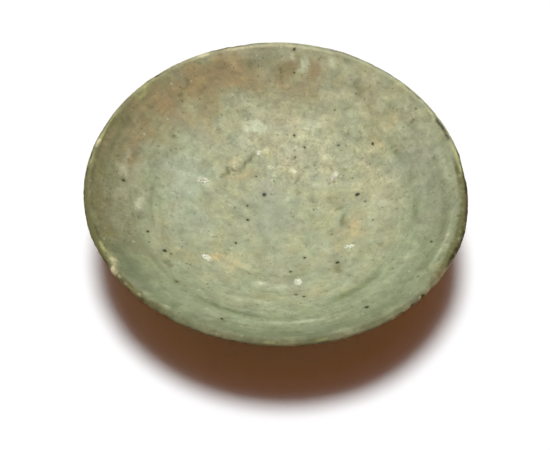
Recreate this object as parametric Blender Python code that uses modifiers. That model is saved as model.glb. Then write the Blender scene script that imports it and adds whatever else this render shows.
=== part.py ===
"""A small wheel-thrown stoneware dish under a celadon glaze, in the pieces that the potter put together.

Metres, +Z up. The dish stands on the ground plane with its axis on Z. It is a thrown clay body on a ring foot,
with a poured coat of glaze inside, another outside, and six stubs of firing spurs left fused in the floor.
"""

import math

import bpy
import bmesh
from mathutils import Matrix, Vector

# Driving dimensions of the dish.
RIM_RADIUS = 0.080  # axis to the outermost edge of the lip
WELL_DEPTH = 0.028  # crown of the lip down to the middle of the floor
WELL_POWER = 2.0  # power of the inside curve: 2 is a parabola, more gives a flatter floor
LIP_THICKNESS = 0.0040  # clay and both coats of glaze, at the lip
WALL_TAPER = 1.5  # how quickly the wall thins on its way up: 1 is an even taper
FLOOR_THICKNESS = 0.0056  # clay and glaze at the middle of the floor
FOOT_HEIGHT = 0.0062  # ground up to the bare clay inside the foot
FOOT_RADIUS = 0.0355  # axis to the middle of the foot's bearing face
FOOT_WIDTH = 0.0062  # across the foot ring where it meets the clay body
FOOT_TAPER = 0.0004  # how far each side of the foot leans in on its way down
FOOT_EDGE = 0.0008  # radius of the foot's rounded lower edges
SEAT_DEPTH = 0.0046  # how far the clay body's base drops inside the foot ring
INNER_GLAZE = 0.0007  # thickness of the coat inside
OUTER_GLAZE = 0.0007  # thickness of the coat outside
CLEARANCE = 0.0003  # left between pieces that meet

# The spurs stood under the foot of the like dish stacked above, so their ring has the foot's radius.
# It was set by eye, a little off the axis.
SPUR_SHIFT = Vector((-0.0012, -0.0021, 0.0))
SPUR_PROUD = 0.0005  # how far the broken stubs stand above the glaze
SPUR_TAPER = 0.8  # width of a stub at its top, as a share of its foot
# For each stub: place round the ring in degrees, length, width, turn of its long side in degrees.
SPURS = (
    (150, 0.0054, 0.0027, 2),
    (102, 0.0034, 0.0017, 85),
    (43, 0.0046, 0.0024, 50),
    (-23, 0.0042, 0.0020, 8),
    (-71, 0.0046, 0.0031, -78),
    (-138, 0.0052, 0.0027, -25),
)

# How finely the round shapes are stepped.
TURN_STEPS = 64
WELL_STEPS = 9
WALL_STEPS = 7
LIP_STEPS = 3
EDGE_STEPS = 3
SPUR_SIDES = 14
AXIS_MERGE = 0.00001
SHARP_ANGLE = math.radians(40)

# Worked out from the driving dimensions.
FLOOR_TOP = FOOT_HEIGHT + FLOOR_THICKNESS
DISH_HEIGHT = FLOOR_TOP + WELL_DEPTH
LIP_RADIUS = LIP_THICKNESS / 2
LIP_CENTRE_RADIUS = RIM_RADIUS - LIP_RADIUS
LIP_CENTRE_HEIGHT = DISH_HEIGHT - LIP_RADIUS
FOOT_INNER = FOOT_RADIUS - FOOT_WIDTH / 2
FOOT_OUTER = FOOT_RADIUS + FOOT_WIDTH / 2
BED_HEIGHT = FOOT_HEIGHT + SEAT_DEPTH
INNER_CLAY_DEPTH = INNER_GLAZE + CLEARANCE
OUTER_CLAY_DEPTH = OUTER_GLAZE + CLEARANCE
SETTLING_ROUNDS = 40


def well_lean():
    """Slope at which the well's curve runs into the lip, in radians: repeated until it settles."""
    lean = 0.5
    for _ in range(SETTLING_ROUNDS):
        radius = LIP_CENTRE_RADIUS - LIP_RADIUS * math.sin(lean)
        rise = LIP_CENTRE_HEIGHT + LIP_RADIUS * math.cos(lean) - FLOOR_TOP
        lean = math.atan(WELL_POWER * rise / radius)
    return lean


LIP_LEAN = well_lean()
WELL_RADIUS = LIP_CENTRE_RADIUS - LIP_RADIUS * math.sin(LIP_LEAN)
WELL_RISE = LIP_CENTRE_HEIGHT + LIP_RADIUS * math.cos(LIP_LEAN) - FLOOR_TOP


def well_at(out):
    """Radius, height and slope of the finished inside, a share out of the way from the axis to the lip."""
    height = FLOOR_TOP + WELL_RISE * out**WELL_POWER
    slope = math.atan(WELL_POWER * WELL_RISE / WELL_RADIUS * out ** (WELL_POWER - 1))
    return out * WELL_RADIUS, height, slope


def well_over_foot():
    """Share of the way out at which the outer glaze ends, just clear of the foot's outer edge."""
    out = 0.5
    for _ in range(SETTLING_ROUNDS):
        _, height, slope = well_at(out)
        overhang = math.tan(slope) * (height - BED_HEIGHT) + CLEARANCE * math.sin(slope)
        out = (FOOT_OUTER + CLEARANCE - overhang) / WELL_RADIUS
    return out


FOOT_OUT = well_over_foot()


def wall_at(out):
    """Thickness of the wall, glaze included, square to the inside curve."""
    _, height, slope = well_at(FOOT_OUT)
    at_foot = (height - BED_HEIGHT) / math.cos(slope) + OUTER_CLAY_DEPTH
    down = (1 - out) / (1 - FOOT_OUT)
    return LIP_THICKNESS + (at_foot - LIP_THICKNESS) * down**WALL_TAPER


def inside(depth):
    """The inside from the axis to the lip, sunk by depth into the dish."""
    points = []
    for step in range(WELL_STEPS):
        radius, height, slope = well_at(step / WELL_STEPS)
        points.append((radius + depth * math.sin(slope), height - depth * math.cos(slope)))
    return points


def outside(depth):
    """The outside from the lip down to the foot, sunk by depth into the dish."""
    points = []
    for step in range(1, WALL_STEPS + 1):
        out = 1 - (1 - FOOT_OUT) * step / WALL_STEPS
        radius, height, slope = well_at(out)
        down = wall_at(out) - depth
        points.append((radius + down * math.sin(slope), height - down * math.cos(slope)))
    return points


def lip(start, end, start_depth, end_depth, steps):
    """An arc round the lip, between two angles from its crown, sunk by a depth that goes evenly over."""
    points = []
    for step in range(steps + 1):
        share = step / steps
        angle = LIP_LEAN + start + (end - start) * share
        radius = LIP_RADIUS - start_depth - (end_depth - start_depth) * share
        points.append(
            (LIP_CENTRE_RADIUS + radius * math.cos(angle), LIP_CENTRE_HEIGHT + radius * math.sin(angle))
        )
    return points


def clay_profile():
    """From the axis, along the inside, over the lip, down the wall to the bed, and in under the base."""
    half_turn = math.pi / 2
    over = lip(half_turn, -half_turn, INNER_CLAY_DEPTH, OUTER_CLAY_DEPTH, 2 * LIP_STEPS)
    base_radius = FOOT_INNER - CLEARANCE
    under = [(base_radius, BED_HEIGHT), (base_radius, FOOT_HEIGHT), (0.0, FOOT_HEIGHT)]
    return inside(INNER_CLAY_DEPTH) + over + outside(OUTER_CLAY_DEPTH) + under


def inner_glaze_profile():
    """The inside and back under it, with both ends on the axis."""
    seam = CLEARANCE / 2 / (LIP_RADIUS - INNER_GLAZE)
    top = inside(0.0) + lip(math.pi / 2, seam, 0.0, 0.0, LIP_STEPS)
    bottom = inside(INNER_GLAZE) + lip(math.pi / 2, seam, INNER_GLAZE, INNER_GLAZE, LIP_STEPS)
    return top + bottom[::-1]


def outer_glaze_profile():
    """Down the outside from the lip's crown to the foot, and back up behind it."""
    seam = CLEARANCE / 2 / (LIP_RADIUS - OUTER_GLAZE)
    front = lip(-seam, -math.pi / 2, 0.0, 0.0, LIP_STEPS) + outside(0.0)
    back = lip(-seam, -math.pi / 2, OUTER_GLAZE, OUTER_GLAZE, LIP_STEPS) + outside(OUTER_GLAZE)
    return front + back[::-1]


def foot_profile():
    """Down the foot's outer side, across its bearing face and up the inner side to the bed."""
    top = BED_HEIGHT - CLEARANCE
    half_face = FOOT_WIDTH / 2 - FOOT_TAPER - FOOT_EDGE
    points = [(FOOT_OUTER, top)]
    for step in range(EDGE_STEPS + 1):
        angle = math.pi / 2 * step / EDGE_STEPS
        points.append(
            (
                FOOT_RADIUS + half_face + FOOT_EDGE * math.cos(angle),
                FOOT_EDGE - FOOT_EDGE * math.sin(angle),
            )
        )
    for step in range(EDGE_STEPS + 1):
        angle = math.pi / 2 * step / EDGE_STEPS
        points.append(
            (
                FOOT_RADIUS - half_face - FOOT_EDGE * math.sin(angle),
                FOOT_EDGE - FOOT_EDGE * math.cos(angle),
            )
        )
    return points + [(FOOT_INNER, FOOT_HEIGHT - CLEARANCE), (FOOT_INNER, top)]


def material(name, colour, roughness):
    """A Principled material with one plain colour."""
    made = bpy.data.materials.new(name)
    made.use_nodes = True
    shader = made.node_tree.nodes["Principled BSDF"]
    shader.inputs["Base Color"].default_value = (*colour, 1.0)
    shader.inputs["Roughness"].default_value = roughness
    shader.inputs["Metallic"].default_value = 0.0
    made.diffuse_color = (*colour, 1.0)
    return made


def add(name, mesh, collection, parent, finish=None):
    """An object for a mesh, in its collection, under the parent."""
    made = bpy.data.objects.new(name, mesh)
    collection.objects.link(made)
    made.parent = parent
    if finish:
        mesh.materials.append(finish)
    return made


def turn(name, profile, closed, collection, parent, finish):
    """A turned piece: its profile at +X with a Screw modifier about Z."""
    mesh = bpy.data.meshes.new(name)
    build = bmesh.new()
    corners = [build.verts.new((radius, 0.0, height)) for radius, height in profile]
    pairs = list(zip(corners, corners[1:]))
    if closed:
        pairs.append((corners[-1], corners[0]))
    for pair in pairs:
        build.edges.new(pair)
    build.to_mesh(mesh)
    build.free()
    made = add(name, mesh, collection, parent, finish)
    screw = made.modifiers.new("turned", "SCREW")
    screw.axis = "Z"
    screw.angle = 2 * math.pi
    screw.steps = TURN_STEPS
    screw.render_steps = TURN_STEPS
    screw.use_merge_vertices = True
    screw.merge_threshold = AXIS_MERGE
    screw.use_smooth_shade = True
    return made


def spur_place(angle, turned):
    """Where a spur stands on the glaze: its Z along the surface's normal, its X along its long side."""
    heading = math.radians(angle)
    point = SPUR_SHIFT + FOOT_RADIUS * Vector((math.cos(heading), math.sin(heading), 0.0))
    radius, height, slope = well_at(math.hypot(point.x, point.y) / WELL_RADIUS)
    bearing = math.atan2(point.y, point.x)
    place = Matrix.Rotation(bearing, 4, "Z") @ Matrix.Translation((radius, 0.0, height))
    return place @ Matrix.Rotation(-slope, 4, "Y") @ Matrix.Rotation(math.radians(turned) - bearing, 4, "Z")


def stub_mesh(name, length, width, bottom, top, taper):
    """An oval stub between two heights, narrowed towards its top."""
    mesh = bpy.data.meshes.new(name)
    build = bmesh.new()
    bmesh.ops.create_cone(
        build, cap_ends=True, segments=SPUR_SIDES, radius1=0.5, radius2=0.5 * taper, depth=1.0
    )
    size = Matrix.Diagonal((length, width, top - bottom, 1.0))
    rise = Matrix.Translation((0.0, 0.0, (top + bottom) / 2))
    bmesh.ops.transform(build, matrix=rise @ size, verts=build.verts)
    build.to_mesh(mesh)
    build.free()
    mesh.shade_smooth()
    mesh.set_sharp_from_angle(angle=SHARP_ANGLE)
    return mesh


def main():
    for old in list(bpy.data.objects):
        bpy.data.objects.remove(old, do_unlink=True)

    dish = bpy.data.collections.new("celadon_dish")
    cutters = bpy.data.collections.new("cutters")
    for collection in (dish, cutters):
        bpy.context.scene.collection.children.link(collection)
    centre = bpy.data.objects.new("dish_centre", None)
    dish.objects.link(centre)

    stoneware = material("grey_buff_stoneware", (0.42, 0.33, 0.23), 0.85)
    celadon = material("celadon_glaze", (0.33, 0.35, 0.21), 0.45)
    thin_celadon = material("thin_celadon_glaze", (0.27, 0.26, 0.13), 0.5)
    quartz = material("quartz_grit", (0.80, 0.77, 0.70), 0.9)

    turn("clay_body", clay_profile(), False, dish, centre, stoneware)
    turn("foot_ring", foot_profile(), True, dish, centre, stoneware)
    turn("outer_glaze", outer_glaze_profile(), True, dish, centre, thin_celadon)
    inner_glaze = turn("inner_glaze", inner_glaze_profile(), False, dish, centre, celadon)

    for number, (angle, length, width, turned) in enumerate(SPURS, start=1):
        place = spur_place(angle, turned)
        mark = f"spur_mark_{number}"
        stub = add(
            mark,
            stub_mesh(mark, length, width, -INNER_GLAZE, SPUR_PROUD, SPUR_TAPER),
            dish,
            centre,
            quartz,
        )
        stub.matrix_local = place
        pocket = add(
            f"pocket_{number}",
            stub_mesh(
                f"pocket_{number}",
                length + 2 * CLEARANCE,
                width + 2 * CLEARANCE,
                -INNER_CLAY_DEPTH,
                INNER_CLAY_DEPTH,
                1.0,
            ),
            cutters,
            centre,
        )
        pocket.matrix_local = place
        pocket.hide_render = True
        pocket.display_type = "WIRE"

    pockets = inner_glaze.modifiers.new("spur_pockets", "BOOLEAN")
    pockets.operation = "DIFFERENCE"
    pockets.solver = "EXACT"
    pockets.operand_type = "COLLECTION"
    pockets.collection = cutters


main()
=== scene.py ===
"""The looks of a small wheel-thrown dish under a celadon glaze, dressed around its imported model.

Metres, +Z up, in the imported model's frame: the dish stands on the ground with its axis on Z, and -Y faces the
camera. The turned pieces and the spur marks are made by Geometry Nodes trees, at sizes taken from the frame.
"""

import math
from functools import partial

import bmesh
import bpy
import numpy as np
from mathutils import Matrix, Quaternion, Vector


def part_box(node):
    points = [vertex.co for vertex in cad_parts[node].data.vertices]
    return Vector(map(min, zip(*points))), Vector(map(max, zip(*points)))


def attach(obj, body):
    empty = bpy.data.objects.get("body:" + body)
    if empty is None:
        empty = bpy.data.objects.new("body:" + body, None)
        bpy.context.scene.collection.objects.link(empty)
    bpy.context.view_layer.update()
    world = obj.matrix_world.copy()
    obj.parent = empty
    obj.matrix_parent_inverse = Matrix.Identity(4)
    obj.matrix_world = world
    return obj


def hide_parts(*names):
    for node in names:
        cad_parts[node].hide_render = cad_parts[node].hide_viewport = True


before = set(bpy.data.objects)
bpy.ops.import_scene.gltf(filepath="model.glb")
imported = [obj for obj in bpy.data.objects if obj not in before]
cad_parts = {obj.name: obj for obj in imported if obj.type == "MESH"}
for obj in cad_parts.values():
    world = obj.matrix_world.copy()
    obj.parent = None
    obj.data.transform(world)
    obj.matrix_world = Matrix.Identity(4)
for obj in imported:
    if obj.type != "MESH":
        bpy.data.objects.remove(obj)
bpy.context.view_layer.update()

MM = 0.001

# Sizes that the solids have and their boxes don't show.
GLAZE = 0.7 * MM  # thickness of each coat
GAP = 0.3 * MM  # left between pieces that meet
LIP_THICKNESS = 4.0 * MM
WALL_TAPER = 1.5
BASE_ROUND = 1.0 * MM
FOOT_WIDTH = 6.2 * MM
FOOT_TAPER = 0.4 * MM
FOOT_EDGE = 0.8 * MM

# The kiln pulled the rim into soft lobes.
KILN_LOBES = 3
KILN_WARP = 0.48 * MM
KILN_TURN = 117  # degrees

# Sizes read from the frame.
RIM_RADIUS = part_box("outer_glaze")[1].x
DISH_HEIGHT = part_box("inner_glaze")[1].z
FLOOR_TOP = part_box("inner_glaze")[0].z + GLAZE
BASE_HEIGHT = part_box("clay_body")[0].z
FOOT_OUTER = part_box("foot_ring")[1].x
BED_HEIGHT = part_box("foot_ring")[1].z + GAP
FOOT_RADIUS = FOOT_OUTER - FOOT_WIDTH / 2
FOOT_INNER = FOOT_OUTER - FOOT_WIDTH
LIP_RADIUS = LIP_THICKNESS / 2
LIP_CENTRE_RADIUS = RIM_RADIUS - LIP_RADIUS
LIP_CENTRE_HEIGHT = DISH_HEIGHT - LIP_RADIUS

# How finely the round shapes are stepped.
TURN_STEPS = 600
WELL_STEPS = 108
UNDER_STEPS = 16
LIP_STEPS = 26
WALL_STEPS = 70
FOOT_STEPS = 10
EDGE_STEPS = 8
SETTLING_ROUNDS = 40
AXIS_RING = 1.0 * MM  # radius of the circle that carries an outline round the axis

# The photograph's view.
CAMERA_DISTANCE = 0.650
CAMERA_ELEVATION = 53.19
CAMERA_ROLL = 2.73
CAMERA_LENS = 98.27
CAMERA_TARGET = Vector((0.0, 0.0, 9.03 * MM))


# The dish's curves


def well_end(lean):
    """Radius of the well's edge, and its height above the floor, where it meets the lip at this slope."""
    radius = LIP_CENTRE_RADIUS - LIP_RADIUS * math.sin(lean)
    return radius, LIP_CENTRE_HEIGHT + LIP_RADIUS * math.cos(lean) - FLOOR_TOP


def well_lean():
    """Slope at which the well's curve runs into the lip, in radians: repeated until it settles."""
    lean = 0.5
    for _ in range(SETTLING_ROUNDS):
        radius, rise = well_end(lean)
        lean = math.atan(2 * rise / radius)
    return lean


LIP_LEAN = well_lean()
WELL_RADIUS, WELL_RISE = well_end(LIP_LEAN)


def well_at(out):
    """Radius, height and slope of the glazed inside, a share out of the way from the axis to the lip."""
    slope = math.atan(2 * WELL_RISE / WELL_RADIUS * out)
    return out * WELL_RADIUS, FLOOR_TOP + WELL_RISE * out**2, slope


def well_over_foot():
    """Share of the way out at which the wall meets the foot's outer edge."""
    out = 0.5
    for _ in range(SETTLING_ROUNDS):
        _, height, slope = well_at(out)
        overhang = math.tan(slope) * (height - BED_HEIGHT) + GAP * math.sin(slope)
        out = (FOOT_OUTER + GAP - overhang) / WELL_RADIUS
    return out


FOOT_OUT = well_over_foot()


def wall_at(out):
    """Thickness of the wall, glaze included, square to the inside curve."""
    _, height, slope = well_at(FOOT_OUT)
    at_foot = (height - BED_HEIGHT) / math.cos(slope) + GLAZE + GAP
    down = (1 - out) / (1 - FOOT_OUT)
    return LIP_THICKNESS + (at_foot - LIP_THICKNESS) * down**WALL_TAPER


def under_well(out, depth):
    """A point of the inside curve, moved into the dish by depth, square to the curve."""
    radius, height, slope = well_at(out)
    return radius + depth * math.sin(slope), height - depth * math.cos(slope)


def inside(depth, steps):
    """The inside from the axis to the lip, sunk by depth into the dish."""
    return [under_well(step / steps, depth) for step in range(steps)]


def outside(depth, steps, lowest=0.0):
    """The outside from the lip towards the foot, sunk by depth into the dish, down to a share of the way."""
    outs = [1 - (1 - FOOT_OUT) * (1 - lowest) * step / steps for step in range(1, steps + 1)]
    return [under_well(out, wall_at(out) - depth) for out in outs]


def lip(start, end, depth, steps):
    """An arc round the lip, between two angles in degrees from its crown, sunk by depth."""
    radius = LIP_RADIUS - depth
    points = []
    for step in range(steps + 1):
        angle = LIP_LEAN + math.radians(start + (end - start) * step / steps)
        across = LIP_CENTRE_RADIUS + radius * math.cos(angle)
        points.append((across, LIP_CENTRE_HEIGHT + radius * math.sin(angle)))
    return points


def bend(start, corner, end, steps):
    """A soft corner between two points."""
    points = []
    for step in range(steps + 1):
        share = step / steps
        weights = ((1 - share) ** 2, 2 * share * (1 - share), share**2)
        ways = zip(start, corner, end)
        points.append(tuple(sum(weight * part for weight, part in zip(weights, way)) for way in ways))
    return points


# Outlines of the turned pieces

SEAM = -82  # degrees from the lip's crown at which the inner coat ends and the outer one starts
SEAM_GAP = 0.6  # degrees
POOL_REACH = 0.16  # share of the wall above the foot that the pooled glaze rounds off
RUN_SKIN = 0.45 * MM  # thickness of the glaze that ran down the foot
RUN_INSIDE = 0.08 * MM
RUN_LENGTH = 6.2 * MM
RUN_BEAD = 0.25 * MM
RUN_END = BED_HEIGHT - RUN_LENGTH


def inner_coat_outline():
    """Along the inside, over the lip, and back under it, with both ends on the axis."""
    top = inside(0.0, WELL_STEPS) + lip(90, SEAM, 0.0, LIP_STEPS)
    bottom = inside(GLAZE, UNDER_STEPS) + lip(90, SEAM, GLAZE, LIP_STEPS // 2)
    return top + bottom[::-1]


def outer_coat_outline():
    """From under the lip down the wall, pooling over the foot, down the foot, and back behind it."""
    wall = outside(0.0, WALL_STEPS, POOL_REACH)
    side = FOOT_OUTER + RUN_SKIN
    back = FOOT_OUTER + RUN_INSIDE
    pool = bend(wall[-1], (side, BED_HEIGHT), (side, BED_HEIGHT - RUN_LENGTH / 2), 2 * EDGE_STEPS)
    bead = bend((side, RUN_END + 4 * RUN_BEAD), (side + 2 * RUN_BEAD, RUN_END), (back, RUN_END), EDGE_STEPS)
    front = lip(SEAM - SEAM_GAP, -90, 0.0, LIP_STEPS // 4) + wall + pool[1:] + bead
    behind = lip(SEAM - SEAM_GAP, -90, GLAZE, LIP_STEPS // 4) + outside(GLAZE, UNDER_STEPS)
    behind = behind[:-1] + [(back, BED_HEIGHT - GAP / 2)]
    return front + behind[::-1]


def clay_outline():
    """The clay under both coats, and in under its base to the axis."""
    sunk = GLAZE + GAP
    edge = FOOT_INNER - GAP
    above = (edge, BASE_HEIGHT + 2 * BASE_ROUND)
    rounded = bend(above, (edge, BASE_HEIGHT), (edge - BASE_ROUND, BASE_HEIGHT), EDGE_STEPS // 2)
    base = [(edge * (1 - step / WALL_STEPS), BASE_HEIGHT) for step in range(2, WALL_STEPS + 1)]
    shell = inside(sunk, UNDER_STEPS) + lip(90, -90, sunk, LIP_STEPS // 2) + outside(sunk, UNDER_STEPS)
    return shell + [(edge, BED_HEIGHT)] + rounded + base


def foot_outline():
    """Down the foot's outer side, across its bearing face and up the inner side."""
    face = FOOT_RADIUS + FOOT_WIDTH / 2 - FOOT_TAPER - FOOT_EDGE
    top = BED_HEIGHT - GAP
    steps = [step / FOOT_STEPS for step in range(FOOT_STEPS)]
    outer = [(FOOT_OUTER - FOOT_TAPER * step, top - (top - FOOT_EDGE) * step) for step in steps]
    outer += bend((face + FOOT_EDGE, FOOT_EDGE), (face + FOOT_EDGE, 0.0), (face, 0.0), EDGE_STEPS)
    return outer + [(2 * FOOT_RADIUS - radius, height) for radius, height in outer[::-1]]


# Node trees

MATH = "ShaderNodeMath"
VECTOR_MATH = "ShaderNodeVectorMath"
MAP_RANGE = "ShaderNodeMapRange"  # in order: the value, the ends that it comes from, the ends that it goes to
MIX = "ShaderNodeMix"  # in order: the share of the second, the first, the second
NOISE = "ShaderNodeTexNoise"

FLAT = (1.0, 1.0, 0.0)  # times a place, leaves out its height


def feed(tree, node, inputs):
    """Gives a node its inputs, by name, or in order if they have none.

    Each is a value, a socket, or a node that gives its first live output.
    """
    sockets = node.inputs
    if not isinstance(inputs, dict):
        sockets = [socket for socket in node.inputs if socket.enabled]
        inputs = dict(enumerate(inputs))
    for name, value in inputs.items():
        if isinstance(value, bpy.types.Node):
            value = next(output for output in value.outputs if output.enabled)
        if isinstance(value, bpy.types.NodeSocket):
            tree.links.new(value, sockets[name])
        else:
            sockets[name].default_value = value


def add_node(tree, kind, inputs=(), operation=None, **settings):
    """A node in a tree, with its settings and links."""
    made = tree.nodes.new(kind)
    if operation:
        made.operation = operation
    for name, value in settings.items():
        setattr(made, name, value)
    feed(tree, made, inputs)
    return made


def new_tree(name, inputs):
    """An empty Geometry Nodes tree with named inputs of each kind."""
    tree = bpy.data.node_groups.new(name, "GeometryNodeTree")
    tree.interface.new_socket("Geometry", in_out="OUTPUT", socket_type="NodeSocketGeometry")
    for kind, labels in inputs.items():
        for label in labels:
            tree.interface.new_socket(label, in_out="INPUT", socket_type="NodeSocket" + kind)
    return tree


def end_tree(add, shape, finish):
    """Makes a tree's shape real and gives it its finish."""
    whole = add("GeometryNodeRealizeInstances", {"Geometry": shape})
    finished = add("GeometryNodeSetMaterial", {"Geometry": whole, "Material": finish})
    add("NodeGroupOutput", {"Geometry": finished})


def from_axis(add, place):
    """A place with its height left out, and its distance from the axis."""
    flat = add(VECTOR_MATH, (place, FLAT), "MULTIPLY")
    return flat, add(VECTOR_MATH, (flat,), "LENGTH")


WELD = 0.005 * MM  # closer corners than this become one

# How the turned pieces depart from a true turning: sizes of the marks, and how strong they are.
GROOVE_BENDS = 30 * MM
GROOVE_DRIFT = 1.1  # laps
GROOVE_SHARPNESS = 2.2
GROOVE_EASE = 5 * MM  # over which the grooves start and end
GROOVE_PATCHES = 42 * MM
GROOVE_FULL = 0.62
HAND_MARKS = 24 * MM
PUCKERS = 6 * MM
STEADY_BELOW = 4 * MM  # hand pressure dies away below this height
WEAR_MARKS = 2.6 * MM
WEAR_BALANCE = 0.55  # above the noise's middle, so that more is lost than left
WEAR_STARTS = 1.7 * LIP_RADIUS
WEAR_FULL = 1.1 * LIP_RADIUS


def kiln_pull(add, given, flat, radius, angle):
    """The kiln's warp: most at the rim, and less further in."""
    lobes = add(MATH, (angle, KILN_LOBES, math.radians(KILN_TURN)), "MULTIPLY_ADD")
    swing = add(MATH, (lobes,), "COSINE")
    out = add(MATH, (radius, given["Rim Radius"]), "DIVIDE")
    share = add(MATH, (swing, out), "MULTIPLY")
    pull = add(MATH, (share, given["Kiln Warp"]), "MULTIPLY")
    per_radius = add(MATH, (pull, given["Rim Radius"]), "DIVIDE")
    return add(VECTOR_MATH, (flat, per_radius), "SCALE")


def finger_grooves(add, given, flat, radius, angle):
    """Depth of the grooves, which wander a little and fade in and out on their way round."""
    bends = add(NOISE, {"Vector": flat, "Scale": 1 / GROOVE_BENDS, "Detail": 2.0})
    laps = add(MATH, (radius, given["Groove Pitch"]), "DIVIDE")
    turns = add(MATH, (angle, 0.5 / math.pi, laps), "MULTIPLY_ADD")
    wandering = add(MATH, (bends, GROOVE_DRIFT, turns), "MULTIPLY_ADD")
    phase = add(MATH, (wandering, 2 * math.pi), "MULTIPLY")
    wave = add(MATH, (phase,), "COSINE")
    ridge = add(MAP_RANGE, (wave, -1.0, 1.0))
    groove = add(MATH, (ridge, GROOVE_SHARPNESS), "POWER")
    band = []
    for end, ease in (("Groove Start", GROOVE_EASE), ("Groove End", -GROOVE_EASE)):
        eased = add(MATH, (given[end], ease), "ADD")
        band.append(add(MAP_RANGE, (radius, given[end], eased), interpolation_type="SMOOTHSTEP"))
    patches = add(NOISE, {"Vector": flat, "Scale": 1 / GROOVE_PATCHES, "Detail": 1.0})
    fade = add(MAP_RANGE, (patches, given["Groove Fade"], GROOVE_FULL))
    banded = add(MATH, (band[0], band[1]), "MULTIPLY")
    faded = add(MATH, (banded, fade), "MULTIPLY")
    cut = add(MATH, (groove, faded), "MULTIPLY")
    return add(MATH, (cut, given["Groove Depth"]), "MULTIPLY")


def hand_pressure(add, given, place, height):
    """How uneven hand pressure leaves the wall. Nothing lifts off the ground."""
    hands = add(NOISE, {"Vector": place, "Scale": 1 / HAND_MARKS, "Detail": 2.0})
    centred = add(MATH, (hands, 0.5), "SUBTRACT")
    broad = add(MATH, (centred, given["Unevenness"]), "MULTIPLY")
    puckers = add(NOISE, {"Vector": place, "Scale": 1 / PUCKERS, "Detail": 2.0})
    small = add(MATH, (puckers, 0.5), "SUBTRACT")
    pressed = add(MATH, (small, given["Pucker Depth"], broad), "MULTIPLY_ADD")
    lifted = add(MAP_RANGE, (height, 0.0, STEADY_BELOW))
    return add(MATH, (pressed, lifted), "MULTIPLY")


def lip_wear(add, given, place, flat):
    """The lip worn ragged, towards and away from the middle of its own round."""
    middle = add("ShaderNodeSeparateXYZ", (given["Lip Centre"],)).outputs
    direction = add(VECTOR_MATH, (flat,), "NORMALIZE")
    ring = add(VECTOR_MATH, (direction, middle["X"]), "SCALE")
    level = add("ShaderNodeCombineXYZ", {"Z": middle["Z"]})
    core = add(VECTOR_MATH, (ring, level), "ADD")
    away = add(VECTOR_MATH, (place, core), "SUBTRACT")
    distance = add(VECTOR_MATH, (away,), "LENGTH")
    near = add(MAP_RANGE, (distance, WEAR_STARTS, WEAR_FULL))
    ragged = add(NOISE, {"Vector": place, "Scale": 1 / WEAR_MARKS, "Detail": 3.0})
    rubbed = add(MATH, (ragged, WEAR_BALANCE), "SUBTRACT")
    taken = add(MATH, (rubbed, given["Lip Wear"]), "MULTIPLY")
    lost = add(MATH, (taken, near), "MULTIPLY")
    outward = add(VECTOR_MATH, (away,), "NORMALIZE")
    return add(VECTOR_MATH, (outward, lost), "SCALE")


def turning_tree():
    """Turns an outline about Z, lets the kiln warp it and cuts a spiral of finger grooves into it."""
    sizes = ("Rim Radius", "Kiln Warp", "Unevenness", "Pucker Depth", "Lip Wear", "Groove Depth")
    sizes += ("Groove Pitch", "Groove Start", "Groove End", "Groove Fade")
    shape = {"Geometry": ["Outline"], "Int": ["Turn Steps"], "Vector": ["Lip Centre"]}
    tree = new_tree("turned_on_the_wheel", {**shape, "Float": sizes, "Material": ["Finish"]})
    add = partial(add_node, tree)
    given = add("NodeGroupInput").outputs
    outline = add("GeometryNodeMeshToCurve", {"Mesh": given["Outline"]})
    wheel = add("GeometryNodeCurvePrimitiveCircle", {"Resolution": given["Turn Steps"], "Radius": AXIS_RING})
    upright = add("GeometryNodeSetCurveNormal", {"Curve": wheel}, mode="Z_UP")
    thrown = add("GeometryNodeCurveToMesh", {"Curve": upright, "Profile Curve": outline})
    closed = add("GeometryNodeMergeByDistance", {"Geometry": thrown, "Distance": WELD})

    place = add("GeometryNodeInputPosition")
    flat, radius = from_axis(add, place)
    split = add("ShaderNodeSeparateXYZ", (place,)).outputs
    angle = add(MATH, (split["Y"], split["X"]), "ARCTAN2")
    warp = kiln_pull(add, given, flat, radius, angle)
    depth = finger_grooves(add, given, flat, radius, angle)
    pressed = hand_pressure(add, given, place, split["Z"])
    height = add(MATH, (pressed, depth), "SUBTRACT")
    upward = add("ShaderNodeCombineXYZ", {"Z": height})
    raised = add(VECTOR_MATH, (warp, upward), "ADD")
    offset = add(VECTOR_MATH, (raised, lip_wear(add, given, place, flat)), "ADD")
    shaped = add("GeometryNodeSetPosition", {"Geometry": closed, "Offset": offset})
    end_tree(add, add("GeometryNodeSetShadeSmooth", {"Geometry": shaped}), given["Finish"])
    return tree


LUMP_SIZE = 0.9 * MM
SMALLEST_GRAIN = 0.5  # these two times the grain size
LARGEST_GRAIN = 1.2
FULL_TURN = 2 * math.pi


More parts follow.
